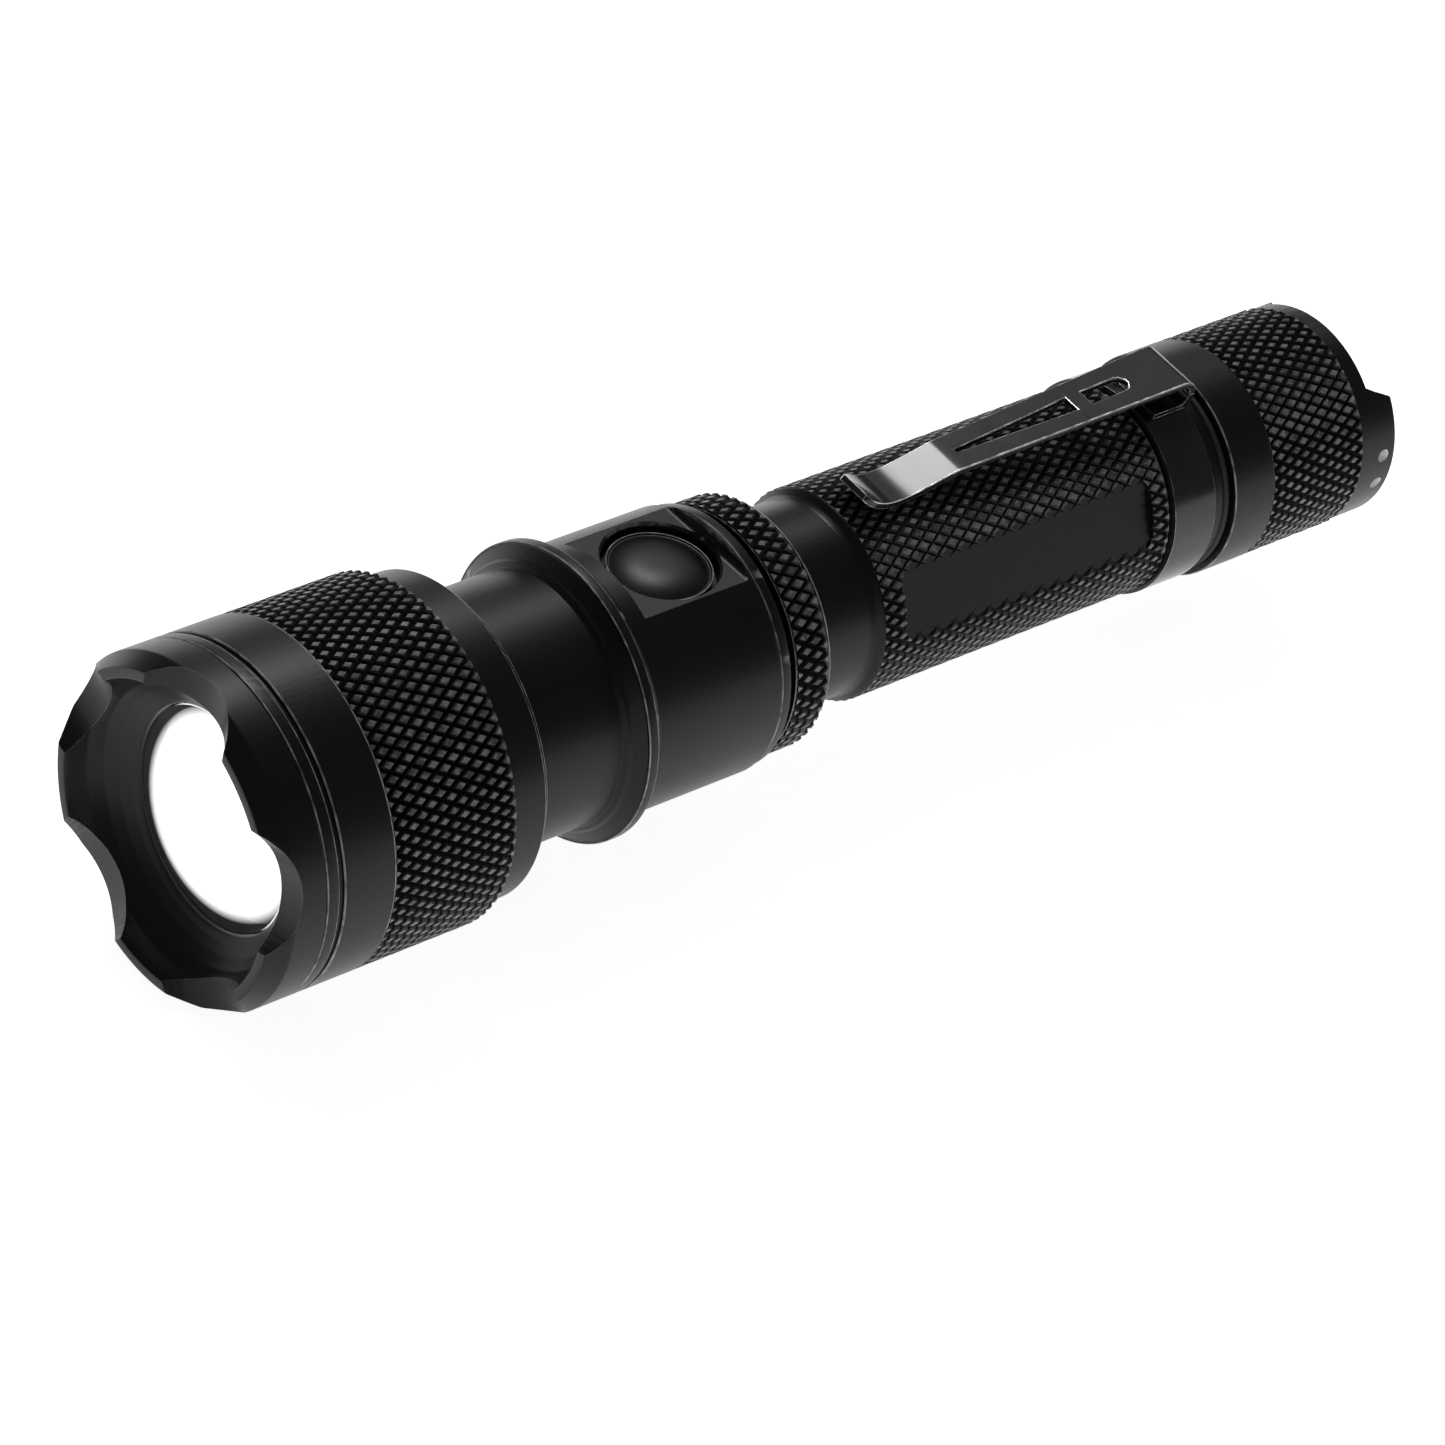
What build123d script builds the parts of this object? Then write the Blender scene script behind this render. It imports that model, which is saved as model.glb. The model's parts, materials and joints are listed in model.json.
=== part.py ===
from build123d import *
import os

os.makedirs("parts", exist_ok=True)

# The object is a zoom flashlight.  Every size is in millimetres.
# A station is the distance behind the tip of the bezel, measured along the axis, which runs
# along +Y.  A height is measured up from the axis.  Sub-parts are built with the bezel tip at
# Y = 0 and the axis at Z = 0, and save() moves them into the shared frame.
LENGTH = 168.5
HEAD_RADIUS = 20.0
CLEARANCE = 0.05
CHAMFER = 0.3

# Head
BEZEL_END = 6.35
BEZEL_BEVEL = 2.3
BEZEL_TIP_RADIUS = 18.7
FUNNEL_TIP_RADIUS = 17.45
SCALLOP_COUNT = 5
SCALLOP_DEPTH = 3.25
SCALLOP_RADIUS = 9.1
SCALLOP_TURN = 1.1
APERTURE_STATION = 6.4
APERTURE_RADIUS = 12.8
LENS_SEAT_STATION = APERTURE_STATION + 1.0
LENS_FLANGE = 8.5
LENS_BACK = 10.8
LENS_APEX = 3.0
LENS_DOME_RADIUS = 12.6
LENS_FLANGE_RADIUS = 14.55
LENS_BORE = 14.7
SKIRT_RADIUS = 17.4
SKIRT_END = 14.4
HEAD_BORE = 17.5
HEAD_KNURL = (15.4, 31.2)
HEAD_SKIRT_RADIUS = 18.6
HEAD_END = 36.35
REAR_LIP_END = 37.1

# Switch housing
NOSE_START = 30.2
NOSE_END = 33.4
NOSE_RADIUS = 13.6
NECK_RADIUS = 14.7
PILL_BORE = 12.45
PILL_END = 40.5
CAVITY_RADIUS = 10.9
FLANGE_RADIUS = 17.2
FLANGE_FRONT = 51.7
FLANGE_REAR = 53.0
BODY_RADIUS = 15.55
BODY_END = 71.7
HOUSING_END = 73.3
COLLAR_START = 29.6
COLLAR_END = 33.3
COLLAR_RADIUS = 17.35

# Side switch
BUTTON_STATION = 64.56
FLAT_START = 56.6
FLAT_HEIGHT = 13.8
RECESS_RADIUS = 6.6
RECESS_FLOOR = 11.5
BUTTON_RADIUS = 6.0
BUTTON_RIM = 13.0
BUTTON_TOP = 13.75
BUTTON_UNDERSIDE = 12.6
PLUNGER_RADIUS = 1.8

# Battery tube
TUBE_BORE = 9.7
TUBE_START = 69.3
TUBE_END = 150.5
FRONT_THREAD_RADIUS = 10.8
TUBE_KNURL_RING = (74.6, 79.2)
KNURL_RING_RADIUS = 14.8
TUBE_NECK_RADIUS = 11.5
GRIP = (89.5, 132.6)
GRIP_RADIUS = 12.5
PAD = (92.7, 130.3)
PAD_ANGLE = 66.0
PAD_HEIGHT = 11.6
PAD_CORNER = 2.3
CLIP_GROOVE = (132.9, 139.7)
CLIP_GROOVE_RADIUS = 12.1
REAR_LAND_END = 141.3
REAR_LAND_RADIUS = 12.45
REAR_THREAD_RADIUS = 11.6
CELL = (76.5, 141.5)
CELL_RADIUS = 9.1
SLEEVE_THICKNESS = 0.2

# Pocket clip
CLIP_THICKNESS = 0.8
CLIP_TURN = 3.0
BAND = (133.2, 139.5)
BAND_INNER = 12.2
BAND_OUTER = 12.95
BAND_GAP_WIDTH = 11.0
FOLD_STATION = 138.4
FOLD_RADIUS = 1.7
ARM_HEIGHT = 16.0
ARM_BEND = (105.1, 14.45)
ARM_CONTACT = (96.3, 13.05)
ARM_TIP = (91.5, 14.9)
ARM_WIDTH_AT_FOLD = 7.2
ARM_WIDTH_AT_BEND = 5.4
LONG_WINDOW = (106.5, 124.0)
SHORT_WINDOW = (126.2, 132.4)
WINDOW_WIDTH = 2.3

# Tail cap
CAP_START = 142.36
CAP_RADIUS = 13.4
CAP_KNURL = (148.6, 162.9)
CAP_REAR_RADIUS = 13.2
CAP_FLOOR = 165.2
CAP_THREAD_BORE = 11.7
CAP_THREAD_END = 151.6
MODULE_BORE = 10.4
MODULE_END = 161.5
BOOT_BORE = 7.6
EAR_GAP_AT_FLOOR = 18.0
EAR_GAP_AT_END = 20.6
LANYARD_RADIUS = 0.8
LANYARD_STATION = 166.7
LANYARD_OFFSET = 2.0


def turned(*corners):
    """A solid of revolution about the axis, from its (station, radius) corners."""
    outline = Polyline(*[(radius, station) for station, radius in corners], close=True)
    return revolve(make_face(outline), Axis.Y)


def ring(start, end, inner, outer):
    """A plain ring or, with inner at 0, a plain disc."""
    return turned((start, inner), (start, outer), (end, outer), (end, inner))


def o_ring(station, middle_radius, thickness):
    """A round rubber ring."""
    section = Pos(middle_radius, station) * Circle(thickness / 2)
    return revolve(section, Axis.Y)


def upright_rod(radius, station, bottom, top):
    """A cylinder that stands at right angles to the axis, between two heights."""
    return Pos(0, station, (bottom + top) / 2) * Cylinder(radius, top - bottom)


def block(width, stations, heights):
    """A box centred on the plane X = 0."""
    length = stations[1] - stations[0]
    height = heights[1] - heights[0]
    centre = Pos(0, sum(stations) / 2, sum(heights) / 2)
    return centre * Box(width, length, height)


def coil(start, end, radius, wire_radius, turns):
    """A contact spring along the axis."""
    length = end - start - 2 * wire_radius
    path = Helix(length / turns, length, radius)
    section = Plane(path @ 0, z_dir=path % 0) * Circle(wire_radius)
    spring = sweep(section, path)
    return Pos(0, start + wire_radius, 0) * Rot(-90, 0, 0) * spring


def save(name, part):
    """Moves a sub-part into the shared frame, whose origin is under the middle of the object."""
    export_step(Pos(0, -LENGTH / 2, HEAD_RADIUS) * part, f"parts/{name}.step")


def scallop(number):
    """The cutter of one of the scallops in the bezel's rim."""
    cutter = Pos(0, SCALLOP_DEPTH - SCALLOP_RADIUS, 20) * Cylinder(SCALLOP_RADIUS, 20)
    return Rot(0, SCALLOP_TURN + 360 / SCALLOP_COUNT * number, 0) * cutter


def bezel():
    body = turned(
        (0, FUNNEL_TIP_RADIUS),
        (0, BEZEL_TIP_RADIUS),
        (BEZEL_BEVEL, HEAD_RADIUS),
        (BEZEL_END, HEAD_RADIUS),
        (BEZEL_END, SKIRT_RADIUS),
        (SKIRT_END, SKIRT_RADIUS),
        (SKIRT_END, LENS_BORE),
        (LENS_SEAT_STATION, LENS_BORE),
        (LENS_SEAT_STATION, APERTURE_RADIUS),
        (APERTURE_STATION, APERTURE_RADIUS),
        (5.4, 14.4),
        (SCALLOP_DEPTH, 16.4),
    )
    for number in range(SCALLOP_COUNT):
        body -= scallop(number)
    return body


def lens():
    """A plano-convex lens: the dome stands through the bezel's aperture."""
    rise = APERTURE_STATION + 0.2 - LENS_APEX
    outline = Polyline(
        (0, LENS_APEX),
        (0, LENS_BACK),
        (LENS_FLANGE_RADIUS, LENS_BACK),
        (LENS_FLANGE_RADIUS, LENS_FLANGE),
        (LENS_DOME_RADIUS, LENS_FLANGE),
        (LENS_DOME_RADIUS, LENS_APEX + rise),
    )
    sphere_radius = (LENS_DOME_RADIUS**2 + rise**2) / (2 * rise)
    dome = RadiusArc((LENS_DOME_RADIUS, LENS_APEX + rise), (0, LENS_APEX), sphere_radius)
    return revolve(make_face(outline + dome), Axis.Y)


def lens_retainer():
    body = ring(LENS_BACK + 0.1, 13.4, 12.2, LENS_BORE - CLEARANCE)
    for side in (-1, 1):
        body -= Pos(side * 13.4, 13.4, 0) * Box(1.6, 1.6, 1.6)
    return body


def head_shell():
    """The knurled grip is drawn at the height of its peaks."""
    return turned(
        (BEZEL_END + 0.1, HEAD_BORE),
        (BEZEL_END + 0.1, HEAD_RADIUS - 0.15),
        (BEZEL_END + 0.25, HEAD_RADIUS),
        (8.0, HEAD_RADIUS),
        (8.1, HEAD_RADIUS - 0.45),
        (8.6, HEAD_RADIUS - 0.45),
        (8.7, HEAD_RADIUS),
        (HEAD_KNURL[1], HEAD_RADIUS),
        (HEAD_KNURL[1] + 0.5, HEAD_SKIRT_RADIUS),
        (HEAD_END - 0.2, HEAD_SKIRT_RADIUS),
        (HEAD_END, HEAD_SKIRT_RADIUS - 0.2),
        (HEAD_END, HEAD_BORE),
    )


def head_rear_ring():
    return turned(
        (33.5, NECK_RADIUS + 0.85),
        (33.5, HEAD_BORE - CLEARANCE),
        (HEAD_END + 0.05, HEAD_BORE - CLEARANCE),
        (HEAD_END + 0.05, 17.9),
        (REAR_LIP_END - 0.2, 17.9),
        (REAR_LIP_END, 17.7),
        (REAR_LIP_END, NECK_RADIUS + 0.1),
        (36.6, NECK_RADIUS + 0.1),
        (36.6, NECK_RADIUS + 0.85),
    )


def zoom_collar():
    """The head's coarse thread runs on this collar; its groove holds the zoom O-ring."""
    return turned(
        (COLLAR_START, NOSE_RADIUS + CLEARANCE),
        (COLLAR_START, COLLAR_RADIUS - CHAMFER),
        (COLLAR_START + CHAMFER, COLLAR_RADIUS),
        (30.8, COLLAR_RADIUS),
        (30.8, 16.5),
        (32.2, 16.5),
        (32.2, COLLAR_RADIUS),
        (COLLAR_END - CHAMFER, COLLAR_RADIUS),
        (COLLAR_END, COLLAR_RADIUS - CHAMFER),
        (COLLAR_END, NOSE_RADIUS + CLEARANCE),
    )


def switch_housing():
    body = turned(
        (NOSE_START, PILL_BORE),
        (NOSE_START, NOSE_RADIUS),
        (NOSE_END, NOSE_RADIUS),
        (NOSE_END, NECK_RADIUS),
        (49.9, NECK_RADIUS),
        (50.3, NECK_RADIUS + 0.6),
        (50.8, NECK_RADIUS + 0.8),
        (FLANGE_FRONT - 0.2, FLANGE_RADIUS - 0.3),
        (FLANGE_FRONT, FLANGE_RADIUS),
        (FLANGE_REAR, FLANGE_RADIUS),
        (FLANGE_REAR + 0.5, BODY_RADIUS + 0.5),
        (FLANGE_REAR + 1.6, BODY_RADIUS),
        (BODY_END - 0.15, BODY_RADIUS),
        (BODY_END, BODY_RADIUS - 0.35),
        (BODY_END + 0.2, BODY_RADIUS - 0.35),
        (BODY_END + 0.35, BODY_RADIUS - 0.15),
        (HOUSING_END - 0.3, BODY_RADIUS - 0.2),
        (HOUSING_END, BODY_RADIUS - 0.5),
        (HOUSING_END, CAVITY_RADIUS),
        (PILL_END, CAVITY_RADIUS),
        (PILL_END, PILL_BORE),
    )
    flat_length = (FLAT_START, BODY_END + 0.2)
    body -= block(2 * BODY_RADIUS, flat_length, (FLAT_HEIGHT, BODY_RADIUS + 2))
    body -= upright_rod(RECESS_RADIUS, BUTTON_STATION, RECESS_FLOOR, BODY_RADIUS)
    body -= upright_rod(PLUNGER_RADIUS + 0.4, BUTTON_STATION, 5, RECESS_FLOOR)
    return body


def wire_hole(side, start, end, radius):
    """One of the two straight ways that the LED wires take, left and right under the axis."""
    length = end - start
    return Pos(4 * side, (start + end) / 2, -6) * Rot(90, 0, 0) * Cylinder(radius, length)


def led_pill():
    body = ring(31.55, PILL_END - 0.1, 0, PILL_BORE - CLEARANCE)
    body -= ring(35.5, PILL_END, 0, 10.2)
    for side in (-1, 1):
        body -= wire_hole(side, 31, 36, 1.0)
    return body


def led_board():
    body = ring(29.9, 31.5, 0, 10)
    for side in (-1, 1):
        body -= wire_hole(side, 29, 32, 1.0)
    return body


def led():
    dome = Pos(0, 29.3, 0) * Sphere(1.6)
    dome -= block(4, (29.3, 32), (-2, 2))
    return block(3.45, (29.2, 29.85), (-1.725, 1.725)) + dome


def side_button():
    """A shallow dome on a plunger that reaches down to the tactile switch."""
    rise = BUTTON_TOP - BUTTON_RIM
    rim = BUTTON_RADIUS - 0.25
    dome_radius = (rim**2 + rise**2) / (2 * rise)
    top = RadiusArc((rim, BUTTON_RIM), (0, BUTTON_TOP), -dome_radius)
    outline = Polyline(
        (0, BUTTON_TOP),
        (0, 9.9),
        (PLUNGER_RADIUS, 9.9),
        (PLUNGER_RADIUS, BUTTON_UNDERSIDE),
        (BUTTON_RADIUS, BUTTON_UNDERSIDE),
        (BUTTON_RADIUS, BUTTON_RIM - 0.2),
        (rim, BUTTON_RIM),
    )
    half_section = make_face(outline + top)
    return Pos(0, BUTTON_STATION, 0) * revolve(Plane.XZ * half_section, Axis.Z)


def button_seal():
    seal = upright_rod(RECESS_RADIUS - 0.1, BUTTON_STATION, RECESS_FLOOR + 0.02, 11.8)
    return seal - upright_rod(PLUNGER_RADIUS + 0.1, BUTTON_STATION, 11, 12)


def tactile_switch():
    centre = (BUTTON_STATION - 2.25, BUTTON_STATION + 2.25)
    return block(4.5, centre, (6.85, 8.6)) + upright_rod(1.2, BUTTON_STATION, 8.6, 9.1)


def switch_carrier():
    """A plastic insert that fills the top of the cavity around the switch board."""
    body = ring(58, 67.2, 0, CAVITY_RADIUS - 0.1)
    body -= block(30, (57, 68), (-20, 1))
    body -= block(8.4, (60.4, 66.95), (5.7, 12))
    return body - upright_rod(PLUNGER_RADIUS + 0.3, BUTTON_STATION, 8, 12)


def battery_tube():
    """The knurled ring and the knurled grip are drawn at the height of their peaks."""
    body = turned(
        (TUBE_START, TUBE_BORE),
        (TUBE_START, FRONT_THREAD_RADIUS),
        (HOUSING_END + 0.1, FRONT_THREAD_RADIUS),
        (HOUSING_END + 0.1, 11.6),
        (TUBE_KNURL_RING[0], 11.6),
        (TUBE_KNURL_RING[0], KNURL_RING_RADIUS - CHAMFER),
        (TUBE_KNURL_RING[0] + CHAMFER, KNURL_RING_RADIUS),
        (TUBE_KNURL_RING[1] - CHAMFER, KNURL_RING_RADIUS),
        (TUBE_KNURL_RING[1], KNURL_RING_RADIUS - CHAMFER),
        (TUBE_KNURL_RING[1], KNURL_RING_RADIUS - 0.5),
        (TUBE_KNURL_RING[1] + 0.6, KNURL_RING_RADIUS - 0.6),
        (TUBE_KNURL_RING[1] + 0.9, TUBE_NECK_RADIUS + 0.8),
        (TUBE_KNURL_RING[1] + 1.9, TUBE_NECK_RADIUS),
        (88.1, TUBE_NECK_RADIUS),
        (88.7, TUBE_NECK_RADIUS + 0.15),
        (GRIP[0] - 0.3, GRIP_RADIUS - 0.3),
        (GRIP[0], GRIP_RADIUS),
        (GRIP[1], GRIP_RADIUS),
        (CLIP_GROOVE[0], GRIP_RADIUS - CHAMFER),
        (CLIP_GROOVE[0], CLIP_GROOVE_RADIUS),
        (CLIP_GROOVE[1], CLIP_GROOVE_RADIUS),
        (CLIP_GROOVE[1], REAR_LAND_RADIUS),
        (REAR_LAND_END, REAR_LAND_RADIUS),
        (REAR_LAND_END, REAR_THREAD_RADIUS),
        (TUBE_END - CHAMFER, REAR_THREAD_RADIUS),
        (TUBE_END, REAR_THREAD_RADIUS - CHAMFER),
        (TUBE_END, TUBE_BORE),
    )
    return body - pad_cutter()


def pad_cutter():
    """Cuts the smooth flat pad, whose corners are rounded, out of the knurled grip."""
    width = 2 * (GRIP_RADIUS**2 - PAD_HEIGHT**2) ** 0.5 + 0.1
    front, rear = PAD
    outline = RectangleRounded(width, rear - front, PAD_CORNER)
    return Rot(0, PAD_ANGLE, 0) * Pos(0, (front + rear) / 2, PAD_HEIGHT) * extrude(outline, 3)


def on_clip(part):
    """The clip sits a few degrees round the tube from the button."""
    return Rot(0, CLIP_TURN, 0) * part


def strip(line, width):
    """Sheet metal of the clip's thickness that follows a line of (station, height)."""
    section = Plane.YZ * trace(line, CLIP_THICKNESS)
    return extrude(section, width / 2, both=True)


def clip_fold(start_angle):
    """A quarter of the fold, above or below the seam between arm and band."""
    centre = (FOLD_STATION, ARM_HEIGHT - FOLD_RADIUS)
    return CenterArc(centre, FOLD_RADIUS, start_angle, 90)


def clip_band():
    body = ring(BAND[0], BAND[1], BAND_INNER, BAND_OUTER)
    gap = Pos(0, sum(BAND) / 2, -BAND_OUTER) * Box(BAND_GAP_WIDTH, 10, 8)
    lower = ARM_HEIGHT - 2 * FOLD_RADIUS
    tongue = strip(clip_fold(-90) + Line((134.6, lower), (FOLD_STATION, lower)), ARM_WIDTH_AT_FOLD)
    return on_clip(body - gap + tongue)


def clip_arm():
    """The arm runs forward from the fold, touches the tube with its wave and turns up."""
    wave = Spline(
        ARM_BEND,
        (100.4, 13.5),
        ARM_CONTACT,
        ARM_TIP,
        tangents=[(-1, -0.1), (-0.45, 1)],
    )
    straight = Line((FOLD_STATION, ARM_HEIGHT), ARM_BEND)
    seam_gap = block(20, (139, 142), (14, ARM_HEIGHT - FOLD_RADIUS + 0.05))
    arm = strip(clip_fold(0) + straight + wave, ARM_WIDTH_AT_FOLD)
    return on_clip((arm & clip_plan()) - clip_windows() - seam_gap)


def clip_plan():
    """The arm seen from above: it narrows towards the bend and has rounded tip corners."""
    at_fold = ARM_WIDTH_AT_FOLD / 2
    at_bend = ARM_WIDTH_AT_BEND / 2
    tip = ARM_TIP[0] - 0.7
    side = [
        (145, at_fold),
        (FOLD_STATION, at_fold),
        (ARM_BEND[0], at_bend),
        (tip + 0.8, at_bend),
        (tip, at_bend - 0.8),
    ]
    corners = [(across, along) for along, across in side]
    corners += [(-across, along) for along, across in reversed(side)]
    return extrude(make_face(Polyline(*corners, close=True)), 30)


def clip_windows():
    """A long window that narrows forwards and a short one with a round rear end."""
    front, rear = LONG_WINDOW
    half = WINDOW_WIDTH / 2
    long_window = make_face(
        Polyline((0.25, front), (half, rear), (-half, rear), (-0.25, front), close=True)
    )
    front, rear = SHORT_WINDOW
    waist = rear - half
    short_window = make_face(
        Polyline((-half, waist), (-half, front), (half, front), (half, waist))
        + ThreePointArc((half, waist), (0, rear), (-half, waist))
    )
    return extrude(long_window, 30) + extrude(short_window, 30)


def battery_cell():
    """An 18650 cell with its positive button towards the head."""
    front, rear = CELL
    return turned(
        (front, 0),
        (front, 2.8),
        (front + 1, 2.8),
        (front + 1, CELL_RADIUS - 0.4),
        (front + 1.4, CELL_RADIUS),
        (rear - 0.3, CELL_RADIUS),
        (rear, CELL_RADIUS - 0.3),
        (rear, 0),
    )


def battery_sleeve():
    inner = CELL_RADIUS + 0.02
    return ring(CELL[0] + 1.5, CELL[1] - 0.4, inner, inner + SLEEVE_THICKNESS)


def tail_cap():
    """The knurled grip is drawn at the height of its peaks."""
    body = turned(
        (CAP_START, CAP_THREAD_BORE),
        (CAP_START, CAP_RADIUS - CHAMFER),
        (CAP_START + CHAMFER, CAP_RADIUS),
        (CAP_KNURL[1], CAP_RADIUS),
        (CAP_KNURL[1] + 0.2, CAP_REAR_RADIUS),
        (LENGTH - 0.2, CAP_REAR_RADIUS),
        (LENGTH, CAP_REAR_RADIUS - 0.2),
        (LENGTH, BOOT_BORE),
        (MODULE_END, BOOT_BORE),
        (MODULE_END, MODULE_BORE),
        (CAP_THREAD_END, MODULE_BORE),
        (CAP_THREAD_END, CAP_THREAD_BORE),
    )
    body -= ear_gap()
    for side in (-1, 1):
        lanyard_hole = Pos(0, LANYARD_STATION, side * LANYARD_OFFSET)
        body -= lanyard_hole * Rot(0, 90, 0) * Cylinder(LANYARD_RADIUS, 40)
    return body


def ear_gap():
    """Clears the way for a thumb from above and below, and leaves an ear on each side."""
    at_floor = EAR_GAP_AT_FLOOR / 2
    at_end = EAR_GAP_AT_END / 2
    outline = Polyline(
        (-at_floor, CAP_FLOOR),
        (at_floor, CAP_FLOOR),
        (at_floor + 0.5, CAP_FLOOR + 1.1),
        (at_end, LENGTH),
        (at_end, LENGTH + 1),
        (-at_end, LENGTH + 1),
        (-at_end, LENGTH),
        (-at_floor - 0.5, CAP_FLOOR + 1.1),
        close=True,
    )
    return extrude(make_face(outline), 2 * CAP_RADIUS, both=True)


def tail_retaining_ring():
    body = ring(151.75, 153.6, 6.5, MODULE_BORE - CLEARANCE)
    for side in (-1, 1):
        body -= Pos(side * 8.4, 151.75, 0) * Box(1.6, 1.6, 1.6)
    return body


def tail_switch_module():
    body = ring(155.1, 160.4, 0, MODULE_BORE - 0.2)
    return body - ring(156.0, 161, 0, 3.2)


def tail_boot():
    """A rubber dome with a nub that presses the plunger."""
    dome = BOOT_BORE - 0.25
    return turned(
        (161.45, 0),
        (161.45, 2.5),
        (165.0, 2.8),
        (165.2, dome - 1.2),
        (163.8, dome - 1.0),
        (163.8, dome),
        (165.4, dome),
        (166.5, dome - 0.8),
        (167.1, dome - 2.4),
        (167.3, dome - 4.5),
        (167.35, 0),
    )


save("bezel", bezel())
save("lens", lens())
save("lens_o_ring", o_ring(7.95, 13.6, 0.9))
save("lens_retainer", lens_retainer())
save("head_shell", head_shell())
save("head_rear_ring", head_rear_ring())
save("glide_bush", ring(33.7, 36.5, NECK_RADIUS + 0.08, NECK_RADIUS + 0.8))
save("zoom_collar", zoom_collar())
save("zoom_o_ring", o_ring(31.5, 16.97, 0.9))
save("switch_housing", switch_housing())
save("led_pill", led_pill())
save("led_board", led_board())
save("led", led())
save("led_wire_positive", wire_hole(1, 29.7, 67.3, 0.6))
save("led_wire_negative", wire_hole(-1, 29.7, 67.3, 0.6))
save("side_button", side_button())
save("button_seal", button_seal())
save("tactile_switch", tactile_switch())
save("switch_board", block(8, (60.6, 66.8), (5.8, 6.8)))
save("switch_carrier", switch_carrier())
save("driver_board", ring(67.4, 69.0, 0, CAVITY_RADIUS - 0.2))
save("driver_inductor", Pos(0, 0, -3.2) * ring(64.4, 67.35, 0, 3))
save("front_spring", coil(69.1, 76.3, 3.2, 0.35, 4))
save("battery_tube", battery_tube())
save("front_o_ring", o_ring(74.0, 12.15, 1.0))
save("battery_cell", battery_cell())
save("battery_sleeve", battery_sleeve())
save("clip_band", clip_band())
save("clip_arm", clip_arm())
save("tail_o_ring", o_ring(141.84, 12.15, 0.9))
save("tail_cap", tail_cap())
save("tail_spring", coil(141.8, 153.6, 4.0, 0.4, 5))
save("tail_retaining_ring", tail_retaining_ring())
save("tail_contact_board", ring(153.7, 155.0, 0, MODULE_BORE - 0.2))
save("tail_switch_module", tail_switch_module())
save("tail_plunger", ring(158.3, 161.35, 0, 3.0))
save("boot_seal", ring(160.5, 161.4, 7.8, MODULE_BORE - 0.2))
save("tail_boot", tail_boot())
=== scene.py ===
"""The looks of a zoom flashlight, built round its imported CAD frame.

Sizes are in millimetres.  A station is the distance behind the tip of the bezel, a radius is
measured from the light's axis, a height is measured up from it, and an angle runs round it
from the top towards +X.
"""

import json
import math

import bmesh
import bpy
from mathutils import Matrix, Vector


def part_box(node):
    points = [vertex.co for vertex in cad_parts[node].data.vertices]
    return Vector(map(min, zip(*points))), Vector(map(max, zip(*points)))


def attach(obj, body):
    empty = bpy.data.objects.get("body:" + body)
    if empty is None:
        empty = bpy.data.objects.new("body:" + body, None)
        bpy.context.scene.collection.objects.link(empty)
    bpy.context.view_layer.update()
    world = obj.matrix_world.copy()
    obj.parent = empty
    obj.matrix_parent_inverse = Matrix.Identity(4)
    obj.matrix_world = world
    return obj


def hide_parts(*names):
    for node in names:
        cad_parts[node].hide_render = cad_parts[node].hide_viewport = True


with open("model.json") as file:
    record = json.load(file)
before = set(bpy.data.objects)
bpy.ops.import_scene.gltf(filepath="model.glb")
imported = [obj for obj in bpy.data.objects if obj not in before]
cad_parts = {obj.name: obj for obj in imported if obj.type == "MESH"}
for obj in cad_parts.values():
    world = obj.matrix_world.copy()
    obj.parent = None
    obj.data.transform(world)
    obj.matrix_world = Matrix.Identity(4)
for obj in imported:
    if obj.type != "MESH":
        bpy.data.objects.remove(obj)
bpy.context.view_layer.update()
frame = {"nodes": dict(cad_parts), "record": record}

MM = 0.001
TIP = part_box("bezel")[0].y
AXIS_HEIGHT = (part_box("head_shell")[0].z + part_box("head_shell")[1].z) / 2
SLOT_OF = {row["node"]: row["material_slot"] for row in frame["record"]["subparts"]}
BODY_OF = {
    node: body
    for body, nodes in frame["record"]["behaviour"]["bodies"].items()
    for node in nodes
}
FINISHES = {}

ROUND_STEPS = 240
CORNER = 0.15
HEAD_RADIUS = 19.98
KNURL_TOP = 0.43
KNURL_SHOULDER = 0.5
KNURL_SHOULDER_DROP = 0.05
FLAT_HEIGHT = 13.8
FLAT_STATIONS = (56.6, 71.92)
FLAT_FILLET = 0.9
BUTTON_STATION = 64.56
THREAD_PITCH = 1.5
HEAD_KNURL = (15.4, 31.2)
COLLAR_KNURL = (74.75, 79.05)
GRIP_KNURL = (89.5, 132.6)
CAP_KNURL = (148.6, 162.9)
PAD_ANGLE = math.radians(66)
PAD_STATIONS = (92.7, 130.3)
PAD_HALF_WIDTH = 4.7
PAD_CORNER = 2.3
PAD_HEIGHT = 11.6
CLIP_ANGLE = math.radians(3)
CLIP_THICKNESS = 0.8
BAND_STATIONS = (133.2, 139.5)
BAND_RADIUS = 12.575
BAND_THICKNESS = 0.75
FOLD_CENTRE = (138.4, 14.3)
FOLD_RADIUS = 1.7
ARM_BEND = (105.1, 14.45)
LONG_WINDOW = (106.5, 124.0)
SHORT_WINDOW = (126.2, 132.4)
WINDOW_HALF = 1.15


# ---------------------------------------------------------------- places and outlines

def place(station, radius, angle):
    """A point round the light's axis, in the frame's metres."""
    across = radius * math.sin(angle)
    up = radius * math.cos(angle)
    return Vector((across * MM, TIP + station * MM, AXIS_HEIGHT + up * MM))


def place_upright(height, radius, angle):
    """A point round the vertical axis of the side button."""
    across = radius * math.sin(angle)
    along = BUTTON_STATION + radius * math.cos(angle)
    return Vector((across * MM, TIP + along * MM, AXIS_HEIGHT + height * MM))


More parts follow.
